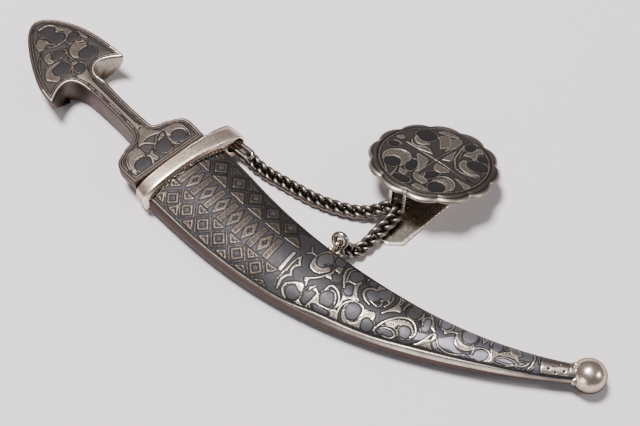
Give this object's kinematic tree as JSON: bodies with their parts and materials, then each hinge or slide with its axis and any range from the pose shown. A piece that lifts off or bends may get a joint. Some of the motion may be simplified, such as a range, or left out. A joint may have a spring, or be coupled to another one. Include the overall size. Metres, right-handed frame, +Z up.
{
  "type": "brooch",
  "caption": "Niello silver brooch: a miniature curved dagger in its scabbard, hung by curb chains from a lobed rosette on a spring clip.",
  "frame": {"origin": "on the surface that the brooch lies on, below the middle of its bounding box", "axes": "+X from the pommel to the ball at the scabbard's tip, +Y towards the rosette, +Z up out of the engraved faces"},
  "size_m": [0.0947, 0.0376, 0.0069],
  "materials": {
    "niello_silver": "engraved silver with dark grey niello",
    "plain_silver": "worn polished silver",
    "chain_silver": "oxidised silver, bright where rubbed",
    "steel": "plain steel"
  },
  "bodies": {
    "scabbard": {"scabbard": "niello_silver", "upper_link": "chain_silver", "jump_ring": "chain_silver", "upper_chain": "chain_silver", "lower_chain": "chain_silver", "rosette": "niello_silver", "spring_clip": "plain_silver"},
    "dagger": {"hilt": "niello_silver", "blade": "steel"}
  },
  "joints": [
    {"name": "draw", "type": "hinge", "parent": "scabbard", "child": "dagger", "pos_m": [0.007, 0.08, 0.0023], "axis": [0, 0, -1], "range_deg": [0, 28]}
  ]
}
